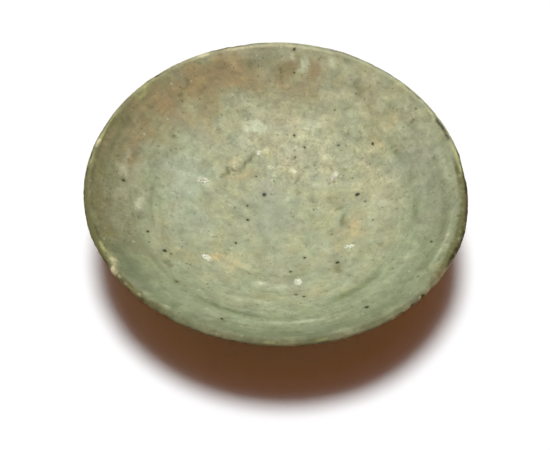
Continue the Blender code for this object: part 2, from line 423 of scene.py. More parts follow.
def grit_tree():
    """A crumbled oval stub of a firing spur: a rough mound with quartz grains over it."""
    sizes = ("Length", "Width", "Height", "Grain Size", "Grains Per Square Metre")
    tree = new_tree("spur_stub", {"Float": sizes, "Int": ["Seed"], "Material": ["Finish"]})
    add = partial(add_node, tree)
    given = add("NodeGroupInput").outputs
    seed = given["Seed"]
    ball = add("GeometryNodeMeshIcoSphere", {"Radius": 0.5, "Subdivisions": 4})
    size = add("ShaderNodeCombineXYZ", {"X": given["Length"], "Y": given["Width"], "Z": given["Height"]})
    mound = add("GeometryNodeTransform", {"Geometry": ball, "Scale": size})
    lumps = add(NOISE, {"Scale": 1 / LUMP_SIZE, "W": seed}, noise_dimensions="4D")
    lump = add(MATH, (lumps, 0.5), "SUBTRACT")
    push = add(MATH, (lump, given["Width"]), "MULTIPLY")
    normal = add("GeometryNodeInputNormal")
    offset = add(VECTOR_MATH, (normal, push), "SCALE")
    rough = add("GeometryNodeSetPosition", {"Geometry": mound, "Offset": offset})
    strewing = {"Mesh": rough, "Density": given["Grains Per Square Metre"], "Seed": seed}
    spots = add("GeometryNodeDistributePointsOnFaces", strewing)
    grain = add("GeometryNodeMeshIcoSphere", {"Radius": 1.0, "Subdivisions": 1})
    spread = {2: SMALLEST_GRAIN, 3: LARGEST_GRAIN, "Seed": seed}
    shares = add("FunctionNodeRandomValue", spread, data_type="FLOAT")
    scale = add(MATH, (shares, given["Grain Size"]), "MULTIPLY")
    turns = {1: (FULL_TURN, FULL_TURN, FULL_TURN), "Seed": seed}
    turn = add("FunctionNodeRandomValue", turns, data_type="FLOAT_VECTOR")
    placing = {"Points": spots, "Instance": grain, "Rotation": turn, "Scale": scale}
    grains = add("GeometryNodeInstanceOnPoints", placing)
    joined = add("GeometryNodeJoinGeometry", {"Geometry": rough})
    feed(tree, joined, {"Geometry": grains})
    end_tree(add, joined, given["Finish"])
    return tree


def grown(name, mesh, tree, sizes):
    """A piece whose plain mesh is what a tree makes with these sizes, with its faces pointing out."""
    piece = bpy.data.objects.new(name, mesh)
    bpy.context.scene.collection.objects.link(piece)
    modifier = piece.modifiers.new("maker", "NODES")
    modifier.node_group = tree
    for socket in tree.interface.items_tree:
        if socket.name in sizes:
            modifier[socket.identifier] = sizes[socket.name]
    evaluated = piece.evaluated_get(bpy.context.evaluated_depsgraph_get())
    made = bpy.data.meshes.new_from_object(evaluated)
    piece.modifiers.clear()
    piece.data = made
    made.name = name
    bpy.data.meshes.remove(mesh)
    build = bmesh.new()
    build.from_mesh(made)
    bmesh.ops.recalc_face_normals(build, faces=build.faces)
    build.to_mesh(made)
    build.free()
    return piece


def turned(name, tree, outline, closed, finish, sizes):
    """A piece turned from an outline of radius and height."""
    mesh = bpy.data.meshes.new(name + "_outline")
    corners = [(radius - AXIS_RING, -height, 0.0) for radius, height in outline]
    edges = [(number, number + 1) for number in range(len(corners) - 1)]
    if closed:
        edges.append((len(corners) - 1, 0))
    mesh.from_pydata(corners, edges, [])
    shared = {
        "Turn Steps": TURN_STEPS,
        "Rim Radius": RIM_RADIUS,
        "Kiln Warp": KILN_WARP,
        "Lip Centre": (LIP_CENTRE_RADIUS, 0.0, LIP_CENTRE_HEIGHT),
        "Finish": finish,
    }
    return grown(name, mesh, tree, {**shared, **sizes})


# Finishes

WHITE = (1.0, 1.0, 1.0, 1.0)


def linear(colour):
    """An sRGB hex colour as linear light, with full alpha."""
    parts = [int(colour[start : start + 2], 16) / 255 for start in (1, 3, 5)]
    return [part / 12.92 if part <= 0.04045 else ((part + 0.055) / 1.055) ** 2.4 for part in parts] + [1.0]


def new_finish(name):
    """A material, the adder of its nodes and its Object coordinates."""
    finish = bpy.data.materials.new(name)
    finish.use_nodes = True
    add = partial(add_node, finish.node_tree)
    return finish, add, add("ShaderNodeTexCoord").outputs["Object"]


def dressed(finish, looks):
    """A finish with its shader's inputs given."""
    tree = finish.node_tree
    feed(tree, tree.nodes["Principled BSDF"], looks)
    return finish


# Tints painted on the inside: attribute, colour, how far the mottling breaks its edges.
INSIDE_TINTS = (
    ("leaf", "#919A78", 0.8), ("ash", "#ABB499", 1.2), ("stone", "#999E84", 1.2), ("buff", "#BAB892", 1.6),
    ("shade", "#77754F", 1.0), ("dusk", "#6C7556", 1.0), ("clay", "#898162", 1.6), ("tan", "#998860", 1.2),
    ("ochre", "#BCB082", 2.0), ("olive", "#72714A", 2.0), ("pale", "#C8CDAB", 1.6),
    # groove is painted shade in the finger rings' grooves; ridge is a painted highlight on their ridges.
    ("groove", "#6F7853", 1.2), ("ridge", "#C2C9A7", 1.2),
)

# The same for the lip, where finer tears break them. Glow is yellow-green glaze, partly a painted
# highlight along the crown; edge and rim darken the lip's outside, partly thin glaze and partly painted shade.
LIP_TINTS = (
    ("rim", "#6C6C46", 2.0), ("brown", "#7A684A", 2.5), ("glow", "#B5B878", 3.0), ("edge", "#3E3A22", 3.0),
    ("crust", "#D2CCA2", 3.0),
)

# Flecks in the glaze: width in millimetres, share of the glaze that stays clear, how much they dim or
# brighten it.
FLECKS = (
    (4.5, 0.54, (0.87, 0.87, 0.84, 1.0)), (3.6, 0.54, (1.10, 1.10, 1.10, 1.0)),
    (1.9, 0.60, (0.76, 0.74, 0.70, 1.0)), (1.4, 0.60, (1.22, 1.21, 1.20, 1.0)),
)

# Specks strewn in the glaze: spacing and largest radius in millimetres, share of places left empty, colour,
# strength.
STREWN_SPECKS = (
    (4.2, 0.5, 0.45, "#4A482E", 0.75), (8.5, 0.75, 0.4, "#5A5938", 0.7), (9.5, 0.7, 0.5, "#D0D2B4", 0.5),
)

# Iron specks: plan place and radius in millimetres.
IRON_SPECKS = (
    (-5.2, 13.4, 1.0), (35, 11.8, 1.0), (38.4, 7.6, 0.4), (-12.3, 6.9, 0.6), (-11.9, -0.5, 0.7),
    (-16.3, -14.2, 0.6), (7.5, -29.2, 0.6), (26.9, -24.8, 0.9), (13.2, -45.6, 0.6), (9.8, -44.2, 0.5),
    (13.1, -20.6, 0.6), (6.7, 41.8, 0.65), (11.4, 36.4, 0.6), (26.3, 36.4, 0.45), (41, 34.7, 0.75),
    (38, -56.7, 0.95), (-45, -27.7, 0.9), (-42.4, -28.6, 0.5), (-52.7, -19.7, 0.7), (-38.6, -45.3, 0.45),
    (-19.1, -65.9, 0.7), (-64.7, 3, 0.7), (64.5, -23.1, 0.6), (57.3, 40.2, 0.25), (-9.3, 22.1, 0.5),
    (7.4, 31.9, 0.45), (4.9, 76.6, 0.8), (5.4, 67.5, 0.5), (-45.7, 32.6, 0.3),
)

# What shows of an iron speck, a halo and a core: where it starts and where it is full, in millimetres past
# the speck's own edge, colour, strength.
SPECK_RINGS = ((1.2, 0.0, "#6E6E4A", 0.35), (0.15, -0.3, "#22230C", 0.95))

SPECK_SOFTNESS = 0.35  # millimetres
SPECK_WAVER = 1.2 * MM
FULL_TINT = 0.95
FLECK_SOFTNESS = 0.1
FLECKS_WHERE_ROUGH = 0.08
LINE_BREAKS = (3.0, 3.0, 0.0)  # how often a throwing line breaks on its way round


def laid_over(add, colour, attribute, tint, noise, broken):
    """A colour with a painted tint laid over it, its strength broken up by a noise."""
    painted = add("ShaderNodeAttribute", attribute_name=attribute).outputs["Fac"]
    swing = add(MATH, (noise, broken, 1 - broken / 2), "MULTIPLY_ADD")
    uneven = add(MATH, (painted, swing), "MULTIPLY")
    amount = add(MAP_RANGE, (uneven, 0.0, FULL_TINT), interpolation_type="SMOOTHSTEP")
    return add(MIX, (amount, colour, linear(tint)), data_type="RGBA")


def clouded(add, noise, spread, first, second):
    """Two colours in soft clouds, which part within this spread of the noise's middle."""
    cloudy = add(MAP_RANGE, (noise, 0.5 - spread, 0.5 + spread))
    return add(MIX, (cloudy, linear(first), linear(second)), data_type="RGBA")


def toned(add, colour, *tones):
    """A colour dimmed and brightened by one tone after another."""
    for tone in tones:
        colour = add(MIX, (1.0, colour, tone), data_type="RGBA", blend_type="MULTIPLY")
    return colour


def throwing_lines(add, place, width, start, full):
    """Faint lines round the wall, as a tone: noise drawn out round it, coming in between two radii."""
    level, radius = from_axis(add, place)
    heading = add(VECTOR_MATH, (level,), "NORMALIZE")
    laps = add(MATH, (radius, width), "DIVIDE")
    lap = add("ShaderNodeCombineXYZ", {"Z": laps})
    around_axis = add(VECTOR_MATH, (heading, LINE_BREAKS, lap), "MULTIPLY_ADD")
    lines = add(NOISE, {"Vector": around_axis, "Scale": 1.0, "Detail": 2.0})
    thrown = add(MAP_RANGE, (lines, 0.25, 0.75, 0.92, 1.08))
    on_wall = add(MAP_RANGE, (radius, start, full))
    return add(MIX, (on_wall, WHITE, thrown), data_type="RGBA")


def strewn(add, colour, place, specks, dimensions):
    """A colour with specks strewn over it, some of their places left empty."""
    for spacing, largest, empty, tint, strength in specks:
        spread = {"Vector": place, "Scale": 1 / (spacing * MM)}
        cells = add("ShaderNodeTexVoronoi", spread, voronoi_dimensions=dimensions).outputs
        chance = add("ShaderNodeSeparateColor", (cells["Color"],))
        reach = add(MAP_RANGE, (chance, empty, 1.0, 0.0, largest / spacing))
        within = add(MATH, (reach, cells["Distance"]), "SUBTRACT")
        amount = add(MAP_RANGE, (within, 0.0, SPECK_SOFTNESS / spacing, 0.0, strength))
        colour = add(MIX, (amount, colour, linear(tint)), data_type="RGBA")
    return colour


def patched(add, place, tears):
    """Small runny patches, as a tone."""
    runny = add(VECTOR_MATH, (tears.outputs["Color"], 5 * MM), "SCALE")
    run = add(VECTOR_MATH, (place, runny), "ADD")
    patches = add("ShaderNodeTexVoronoi", {"Vector": run, "Scale": 1 / (3.4 * MM)})
    chance = add("ShaderNodeSeparateColor", (patches.outputs["Color"],))
    return add(MAP_RANGE, (chance, 0.0, 1.0, 0.93, 1.07))


def hued(add, place):
    """Slow drifts of hue, as a tone."""
    hues = add(NOISE, {"Vector": place, "Scale": 1 / (11 * MM), "Detail": 1.5}).outputs["Color"]
    return add(VECTOR_MATH, (hues, (0.1, 0.1, 0.1), (0.95, 0.95, 0.95)), "MULTIPLY_ADD")


def flecked(add, colour, place, rough):
    """A colour with ragged flecks, thickest where the glaze is rough."""
    for number, (width, clear, gain) in enumerate(FLECKS):
        moved = add(VECTOR_MATH, (place, (number, 0.0, 0.0)), "ADD")
        tearing = {"Scale": 1 / (width * MM), "Detail": 3.0, "Roughness": 0.6, "Distortion": 0.6}
        torn = add(NOISE, {"Vector": moved, **tearing})
        thick = add(MATH, (rough, FLECKS_WHERE_ROUGH, torn), "MULTIPLY_ADD")
        amount = add(MAP_RANGE, (thick, clear, clear + FLECK_SOFTNESS))
        colour = add(MIX, (amount, colour, gain), data_type="RGBA", blend_type="MULTIPLY")
    return colour


def iron_specked(add, colour, flat):
    """A colour with the iron specks at their own places, each with a faint halo."""
    nearest = 1.0
    for across, along, size in IRON_SPECKS:
        centre = (across * MM + SPECK_WAVER / 2, along * MM + SPECK_WAVER / 2, 0.0)
        distance = add(VECTOR_MATH, (flat, centre), "DISTANCE")
        reach = add(MATH, (distance, size * MM), "SUBTRACT")
        nearest = add(MATH, (reach, nearest), "MINIMUM")
    for outer, inner, tint, strength in SPECK_RINGS:
        amount = add(MAP_RANGE, (nearest, outer * MM, inner * MM, 0.0, strength))
        colour = add(MIX, (amount, colour, linear(tint)), data_type="RGBA")
    return colour


def inner_celadon():
    """Satin celadon, poured inside and softly weathered.

    The eye sees a sage ground mottled at every size, grey and leaf green where it is thick, tan and ochre
    where the clay breaks through, and iron specks melted up from the body, under a low gloss. A highlight
    on the finger-ring ridges and shade in their grooves are painted into the colour, as is part of the
    highlight on the lip's crown and the back of the floor, and part of the shade round the outside of the lip.
    """
    finish, add, place = new_finish("satin_celadon_glaze")
    clouds = add(NOISE, {"Vector": place, "Scale": 1 / (9 * MM), "Detail": 2.0})
    mottle = add(NOISE, {"Vector": place, "Scale": 1 / (6 * MM), "Detail": 3.0, "Roughness": 0.6})
    grain = add(NOISE, {"Vector": place, "Scale": 1 / (1.1 * MM), "Detail": 2.0})
    tears = add(NOISE, {"Vector": place, "Scale": 1 / (2.4 * MM), "Detail": 3.0})
    rough, edge, rim = (
        add("ShaderNodeAttribute", attribute_name=name).outputs["Fac"] for name in ("rough", "edge", "rim")
    )
    colour = clouded(add, clouds, 0.12, "#A6A780", "#A2A887")
    for attribute, tint, broken in INSIDE_TINTS:
        colour = laid_over(add, colour, attribute, tint, mottle, broken)

    # Lighter and darker everywhere: mottled down to grains, and in small runny patches.
    tone = add(MAP_RANGE, (mottle, 0.2, 0.8, 0.76, 1.24))
    lines = throwing_lines(add, place, 1.5 * MM, 32 * MM, 48 * MM)
    colour = toned(add, colour, tone, patched(add, place, tears), hued(add, place), lines)
    colour = flecked(add, colour, place, rough)

    # The grain wavers the outlines of the specks.
    waver = add(VECTOR_MATH, (grain.outputs["Color"], SPECK_WAVER), "SCALE")
    shifted = add(VECTOR_MATH, (place, waver), "ADD")
    flat = add(VECTOR_MATH, (shifted, FLAT), "MULTIPLY")
    colour = strewn(add, colour, flat, STREWN_SPECKS, "2D")
    colour = iron_specked(add, colour, flat)
    # The lip's tints, among them a painted highlight on its crown and painted shade on its outside.
    for attribute, tint, broken in LIP_TINTS:
        colour = laid_over(add, colour, attribute, tint, tears, broken)

    wrinkles = add(MATH, (rough, tears), "MULTIPLY")
    even = add(MATH, (grain, 0.2, mottle), "MULTIPLY_ADD")
    height = add(MATH, (wrinkles, 3.5, even), "MULTIPLY_ADD")
    bump = add("ShaderNodeBump", {"Height": height, "Distance": 0.25 * MM, "Strength": 0.6})
    satin = add(MAP_RANGE, (mottle, 0.3, 0.7, 0.5, 0.62))
    # Less gloss where the lip's edge and rim are darkened, partly thin glaze and partly painted shade.
    worn = add(MATH, (edge, rim), "MAXIMUM")
    gloss = add(MAP_RANGE, (worn, 0.0, 1.0, 0.28, 0.06))
    surface = {"Base Color": colour, "Roughness": satin, "Normal": bump}
    return dressed(finish, {**surface, "Specular IOR Level": gloss, "IOR": 1.5})


# Tints painted on the outside, and specks strewn in it, in the same way.
OUTSIDE_TINTS = (("pool", "#6B7048", 0.8), ("thin", "#8B7348", 1.6), ("edge", "#6F6A45", 2.4))
OUTSIDE_SPECKS = ((5.5, 0.6, 0.4, "#47452C", 0.8), (3.8, 0.55, 0.5, "#B3AF88", 0.5))


def outer_celadon():
    """Thin olive celadon outside.

    The eye sees it darker and browner than the inside, specked and lined by the turning tool, brown where it
    thins at the lip, and deeper green where it gathers over the foot.
    """
    finish, add, place = new_finish("thin_olive_celadon_glaze")
    clouds = add(NOISE, {"Vector": place, "Scale": 1 / (12 * MM), "Detail": 3.0, "Roughness": 0.6})
    mottle = add(NOISE, {"Vector": place, "Scale": 1 / (5 * MM), "Detail": 4.5, "Roughness": 0.75})
    grain = add(NOISE, {"Vector": place, "Scale": 1 / (1.2 * MM), "Detail": 2.0})
    colour = clouded(add, clouds, 0.15, "#86835B", "#90946E")
    for attribute, tint, broken in OUTSIDE_TINTS:
        colour = laid_over(add, colour, attribute, tint, mottle, broken)
    tone = add(MAP_RANGE, (mottle, 0.2, 0.8, 0.7, 1.3))
    colour = toned(add, colour, tone, throwing_lines(add, place, 1.8 * MM, 36 * MM, 44 * MM))
    colour = strewn(add, colour, place, OUTSIDE_SPECKS, "3D")
    satin = add(MAP_RANGE, (grain, 0.0, 1.0, 0.4, 0.6))
    bump = add("ShaderNodeBump", {"Height": mottle, "Distance": 0.25 * MM, "Strength": 0.5})
    surface = {"Base Color": colour, "Roughness": satin, "Normal": bump}
    return dressed(finish, {**surface, "Specular IOR Level": 0.25})


CLAY_SPECKS = ((2.6, 0.4, 0.5, "#4A3A2A", 0.8), (1.9, 0.4, 0.55, "#D9CDB6", 0.7))


def bare_stoneware():
    """Fired clay with no glaze: dry, sandy and warm grey-buff, specked, with orange flushes from the kiln."""
    finish, add, place = new_finish("bare_fired_stoneware")
    clouds = add(NOISE, {"Vector": place, "Scale": 1 / (14 * MM), "Detail": 3.0})
    grit = add(NOISE, {"Vector": place, "Scale": 1 / (1.6 * MM), "Detail": 4.0, "Roughness": 0.7})
    colour = clouded(add, clouds, 0.15, "#A89A7E", "#A07C58")
    tone = add(MAP_RANGE, (grit, 0.2, 0.8, 0.6, 1.4))
    colour = strewn(add, toned(add, colour, tone), place, CLAY_SPECKS, "3D")
    dry = add(MAP_RANGE, (grit, 0.0, 1.0, 0.75, 0.95))
    bump = add("ShaderNodeBump", {"Height": grit, "Distance": 0.3 * MM, "Strength": 0.7})
    surface = {"Base Color": colour, "Roughness": dry, "Normal": bump}
    return dressed(finish, {**surface, "Specular IOR Level": 0.2})


def quartz_grit():
    """Broken quartz and kiln sand: white to cream grains that catch the light."""
    finish, add, place = new_finish("crushed_quartz_grit")
    grains = add("ShaderNodeTexVoronoi", {"Vector": place, "Scale": 1 / (0.6 * MM)})
    split = add("ShaderNodeSeparateColor", (grains.outputs["Color"],)).outputs
    colour = add(MIX, (split[0], linear("#EDEEDA"), linear("#CACBB4")), data_type="RGBA")
    glint = add(MAP_RANGE, (split[1], 0.0, 1.0, 0.3, 0.7))
    return dressed(finish, {"Base Color": colour, "Roughness": glint})


# Painting and marking the inner coat

STROKE_OVERLAP = 0.75  # half the length of a stroke's dab, as a share of its run


def stroke(width, strength, *places):
    """Dabs in a row along a line of plan places."""
    dabs = []
    for (across, along), (next_across, next_along) in zip(places, places[1:]):
        run = (next_across - across, next_along - along)
        turn = math.degrees(math.atan2(run[1], run[0]))
        length = STROKE_OVERLAP * math.hypot(*run)
        dabs.append((across + run[0] / 2, along + run[1] / 2, length, width, turn, strength))
    return tuple(dabs)


# Each dab: plan place of its middle, half its length, half its width, turn in degrees, strength. Millimetres.
DABS = {
    "ash": (
        (-40, 12, 10, 20, 0, 0.85), (-33, -11, 10, 12, 0, 0.4), (26, 36, 8, 5, 0, 0.4),
        (-30, 20, 5, 5, 0, 0.45),
    ),
    "leaf": (
        (-52, -10, 6, 16, 0, 0.5), (-54, 12, 5, 9, 0, 0.4), (-8, -35, 7, 6, 0, 0.4),
        (25, -30, 7, 7, 0, 0.25), (55, -30, 6, 5, 0, 0.4), (-20.5, -42.5, 3, 3, 0, 0.7),
        (-10, -41, 6, 6, 0, 0.45),
    ),
    "stone": (
        (0, 2, 14, 13, 0, 0.8), (50, 14, 6, 14, 0, 0.5), (5, -37, 18, 9, 0, 0.55), (-5, 18, 6, 5, 0, 0.5),
        (21, -15, 5, 3, 0, 0.5), (20, -25, 10, 8, 0, 0.35), (-30, -5, 8, 10, 0, 0.4),
        (62, 26, 8, 16, 20, 0.6), (50, 0, 5, 6, 0, 0.5),
    ),
    "dusk": ((10, -34, 3.5, 3, 0, 0.24), (5, -38, 5, 5, 0, 0.12), (23, -34, 3.5, 3.5, 0, 0.22)),
    # The large dab at (0, 42) on the back of the floor is partly a painted highlight of the overhead light.
    "buff": (
        (0, 42, 26, 14, 0, 0.7), (30, 24, 18, 12, 30, 0.4), (8, 25, 14, 10, 0, 0.3),
        (-30, 32, 10, 8, 0, 0.35), (48, 50, 14, 10, -40, 0.25), (42, 10, 10, 14, 0, 0.6),
        (-17, -26, 7.5, 4, -15, 0.45), (40, 20, 4, 4, 0, 0.4),
    ),
    "tan": (
        (-33, 46, 5, 7, 10, 0.55), (34, -5, 3.5, 9, -8, 0.35), (30, -12, 4, 3, 0, 0.25),
        (25.5, 12, 7, 2.5, 0, 0.4), (-14, 22, 10, 2.4, 8, 0.45), (8, 29, 12, 8, -20, 0.3),
        (-19, -37, 4, 3, 0, 0.35), (43, 49.5, 3.6, 5.5, 0, 0.35), (-40, 41, 4, 4, 0, 0.35),
    ),
    "ochre": (
        (-17, -27.8, 5.5, 3.4, 3, 0.5), (-23.4, -24.3, 3.2, 3, 0, 0.8), (28, -7.5, 3, 3, 0, 0.35),
        (33.5, -6, 4.5, 8, -8, 0.65), (26.5, -17, 2, 6, 0, 0.5), (-19.6, 26.2, 3.2, 2.2, 0, 1.0),
        (-15, 21.6, 5.5, 1.3, 10, 0.6), (48.5, 43, 3, 5, 0, 0.6), (43.5, 34.5, 3, 5, 30, 0.5),
        (10, 60, 4, 4, 0, 0.45), (-22.7, 69.8, 4.5, 2.6, 18, 0.5),
    ),
    "olive": (
        (28.6, -1.2, 2.2, 4.6, 0, 0.62), (28.2, 6, 0.9, 2.5, 0, 0.6), (27, -28.5, 3.4, 3, 0, 0.65),
        (-12.5, 31.5, 2.4, 1.8, 56, 0.35), (9.4, 22, 0.9, 2.2, 0, 0.65), (12.5, 27.3, 1.6, 0.8, -30, 0.7),
        (9.1, 15.2, 2.2, 2, 30, 0.5), (15.8, 11.2, 2.2, 1.2, 0, 0.5), (1.8, 34.9, 1.8, 1.8, 0, 0.5),
        (29.5, 24.5, 3, 0.8, -5, 0.5), (23.4, 26, 1.6, 1, 0, 0.4), (-42, -36, 3, 2, 40, 0.25),
        (4, 54, 4.5, 3.5, 0, 0.22), (-38.8, -45.5, 2, 1.5, 0, 0.6), (57.3, 40.2, 1.6, 1.4, 0, 0.6),
        (43, 49.5, 3, 5, 0, 0.35), (59, 31, 2.5, 4.5, 0, 0.3), (-46.3, 32.3, 1.5, 1.3, 0, 0.55),
        (-4, 32, 2.2, 1.8, 0, 0.35), (-41.6, 57, 1.5, 1.1, 60, 0.85), (-44.2, 50.8, 1.4, 1, 0, 0.75),
        (-37, 65.5, 1.6, 1, 40, 0.75), (-43, 53.8, 0.7, 2.2, -20, 0.4),
    )
    + stroke(1, 0.35, (-11, -32.6), (-4, -31.9), (3.2, -31.6))
    + stroke(0.9, 0.4, (5.5, -33.4), (10.5, -33.3))
    + stroke(0.9, 0.4, (-2, -42.3), (4.8, -42.6))
    + stroke(0.8, 0.4, (-45.9, -31.6), (-42.5, -37.6), (-39.4, -44.3))
    + stroke(1.5, 0.3, (-17.6, 23.6), (-14.2, 26.8), (-11.6, 31.8))
    + stroke(0.9, 0.8, (-24.7, 18.8), (-23, 21.8), (-20.3, 23.6), (-17.6, 23.4), (-15.2, 25.9), (-13.5, 30)),
    # Pale glaze. The dabs on the back of the floor are partly a painted highlight of the overhead light, and
    # the streak at (-1.6, -38.8) on the front finger ridge is a painted highlight.
    "pale": (
        (-10.5, 45, 4.2, 3.6, 0, 1.0), (-10.9, 44.6, 3, 2.5, 0, 0.5), (13, 47, 5, 4, 0, 0.5),
        (-16, 55.5, 4, 3, 0, 0.4), (-2, 27, 1.8, 1.2, 0, 0.7), (-19.3, 26.4, 1.6, 1.2, 0, 0.6),
        (6.6, 25.6, 2.6, 1, -45, 0.55), (15.6, 18.7, 2.4, 1, -35, 0.5), (4.9, 11.3, 1.6, 3, 0, 0.4),
        (20, 32.3, 3, 1.6, 0, 0.35), (-14, 37, 8, 5, 0, 0.3), (5, 35.5, 6, 4, 0, 0.35),
        (44, 7, 5, 6, 0, 0.3), (2, -54.5, 9, 2.4, 0, 0.35), (10, 30, 5, 4, 0, 0.3),
        (-1.6, -38.8, 5.5, 2, 0, 0.6), (1.8, -39, 3.6, 1.8, 0, 0.35), (-66, 8, 2.5, 4, 0, 0.5),
        (-55, 4, 2.5, 2.5, 0, 0.5), (-39, -13, 3.5, 7, 0, 0.2), (-27, 42, 3, 4, 0, 0.3),
        (-21, 38, 5, 6, 0, 0.2), (-28, 17, 4.5, 5.5, 0, 0.45), (-33, 22, 3, 2.5, 0, 0.4),
        (-10, 41, 2.6, 2.2, 0, 0.4), (-13, -58, 4.5, 3.5, -13, 0.25), (-57.5, -4.5, 2.5, 5, 0, 0.4),
        (-57.5, 13, 5, 3, 60, 0.4),
    ),
    "rough": (
        (4, 29, 24, 14, 0, 1), (36, 32, 16, 12, 0, 0.7), (-10, 57, 26, 9, 0, 0.5),
        (-66, -10, 8, 30, 0, 0.6),
    ),
}

# Each arc: radius and half its width in millimetres, middle bearing and half its span in degrees, strength.
ARCS = {
    "leaf": (
        (66, 14, -70, 100, 0.95), (54, 7, -110, 35, 0.2), (76, 4, -88, 45, 0.35), (57, 3, -46, 14, 0.3),
    ),
    "buff": (
        # The arc at 97 degrees, along the back of the lip, is a painted highlight.
        (70.5, 6, 40, 20, 0.3), (73.5, 3, 70, 16, 0.4), (61, 5, 62, 12, 0.4), (77.2, 1.2, 97, 18, 0.8),
        (65, 4, -174, 10, 0.4),
    ),
    "shade": (
        (76, 6, 178, 48, 0.74), (75, 3, 175, 40, 0.25), (71, 5, -163, 22, 0.3), (67.5, 5, 166, 18, 0.3),
        (68, 4, 163, 6, 0.3), (70, 3, 171, 4, 0.35), (61, 4, -159, 20, 0.4), (66, 5, -163, 25, 0.3),
        (77, 3, 125, 30, 0.3), (72.5, 6, 100, 5, 0.25), (66, 8, 98, 14, 0.25), (68, 8, 0, 25, 0.3),
        (70, 4, 91, 3, 0.3),
    ),
    "dusk": (
        (75, 6, -88, 58, 0.58), (76, 3, -78, 14, 0.3), (73.5, 6, -143, 12, 0.55), (65, 3, -76, 3.5, 0.4),
        (73, 4, -29, 5, 0.4), (61, 6, -132, 6, 0.14),
    ),
    "tan": (
        (68.5, 8, 122, 23, 0.75), (64, 6, 146, 14, 0.2), (72.5, 5, 116, 10, 0.5), (67, 10, 98, 14, 0.4),
        (67, 9, 78, 5, 0.4), (71, 4, 80, 3, 0.6), (69, 5, 87, 3, 0.7), (71, 5, 144, 8, 0.45),
        (59.5, 6, 84, 10, 0.45), (68.5, 6, 62, 12, 0.3), (66, 7, 159, 16, 0.5),
    ),
    "stone": ((66, 9, 8, 28, 0.6), (66, 8, 178, 35, 0.6)),
    "clay": ((72.5, 2.5, -166, 8, 0.4), (64, 3, -161, 8, 0.35), (75, 2.5, 165, 8, 0.4)),
    "olive": (
        (68, 3, 68, 4, 0.15), (68.5, 3, 60, 4, 0.5), (69.5, 3, 44, 5, 0.4), (71.5, 3, 98, 5, 0.5),
        (67, 4, 88, 4, 0.4),
    ),
    "pale": (
        (72.5, 4, 83, 1.2, 0.6), (73.5, 4, 72, 1.6, 0.45), (73, 3, 89, 3, 0.55), (64, 4, -13.6, 5, 0.22),
        (74.7, 3, 105.5, 5, 0.3), (70, 6, 96, 4.5, 0.25), (71.6, 4, -115, 8, 0.2), (67, 5, -104, 9, 0.18),
        (70, 4, 19, 4, 0.2), (70.5, 3, 65, 2, 0.35), (67, 4, 50, 2.5, 0.35), (71.5, 3, 42, 3, 0.35),
    ),
}
ARC_END = 1.25  # shares of the half span
ARC_FULL = 0.5

# Finger rings: radius, half width and depth in millimetres, a ridge where the depth is below 0; middle
# bearing and half the span in degrees.
RINGS = (
    (58, 2, 0.18, 14, 32), (54.5, 2.4, 0.18, -45, 32), (60.5, 1.8, 0.18, -112, 36),
    (42, 1.2, 0.14, -88, 18), (33.5, 1.2, 0.12, -90, 42), (39, 1.3, 0.08, 118, 45), (46, 1, 0.08, -95, 30),
    (56.5, 1.3, 0.08, -100, 26), (70, 1.2, 0.12, -95, 40), (52.5, 1.9, 0.1, 178, 30),
    (70.5, 1.5, 0.14, -20, 30), (68, 1.3, 0.1, -48, 18), (53, 1.5, 0.08, 98, 22),
    (60.5, 1.5, 0.12, -137, 16), (72, 1.5, 0.1, 150, 35), (39, 1.7, -0.07, -92, 20),
    (51, 1.8, -0.1, -88, 42), (65.5, 1.6, -0.13, -95, 42), (62.5, 2.2, -0.09, -19, 60),
    (74.5, 1.2, -0.14, -15, 22), (72.5, 1.5, -0.12, 20, 25), (48.5, 1.6, -0.1, -43, 20),
    (46, 1.6, -0.08, 100, 30), (48.5, 1.6, -0.08, 139, 22), (66.5, 1.5, -0.12, 175, 18),
)
RING_WANDER = 0.8 * MM
RING_FULL = 0.4  # share of the half span
# Strength of the painted shade in the rings' grooves and the painted highlight on their ridges.
RING_TINT = 0.8
DEEPEST_RING = 0.20
STEADY_PRESS = 0.65
PRESS_SWAY = 0.35
PRESSES_PER_TURN = 7

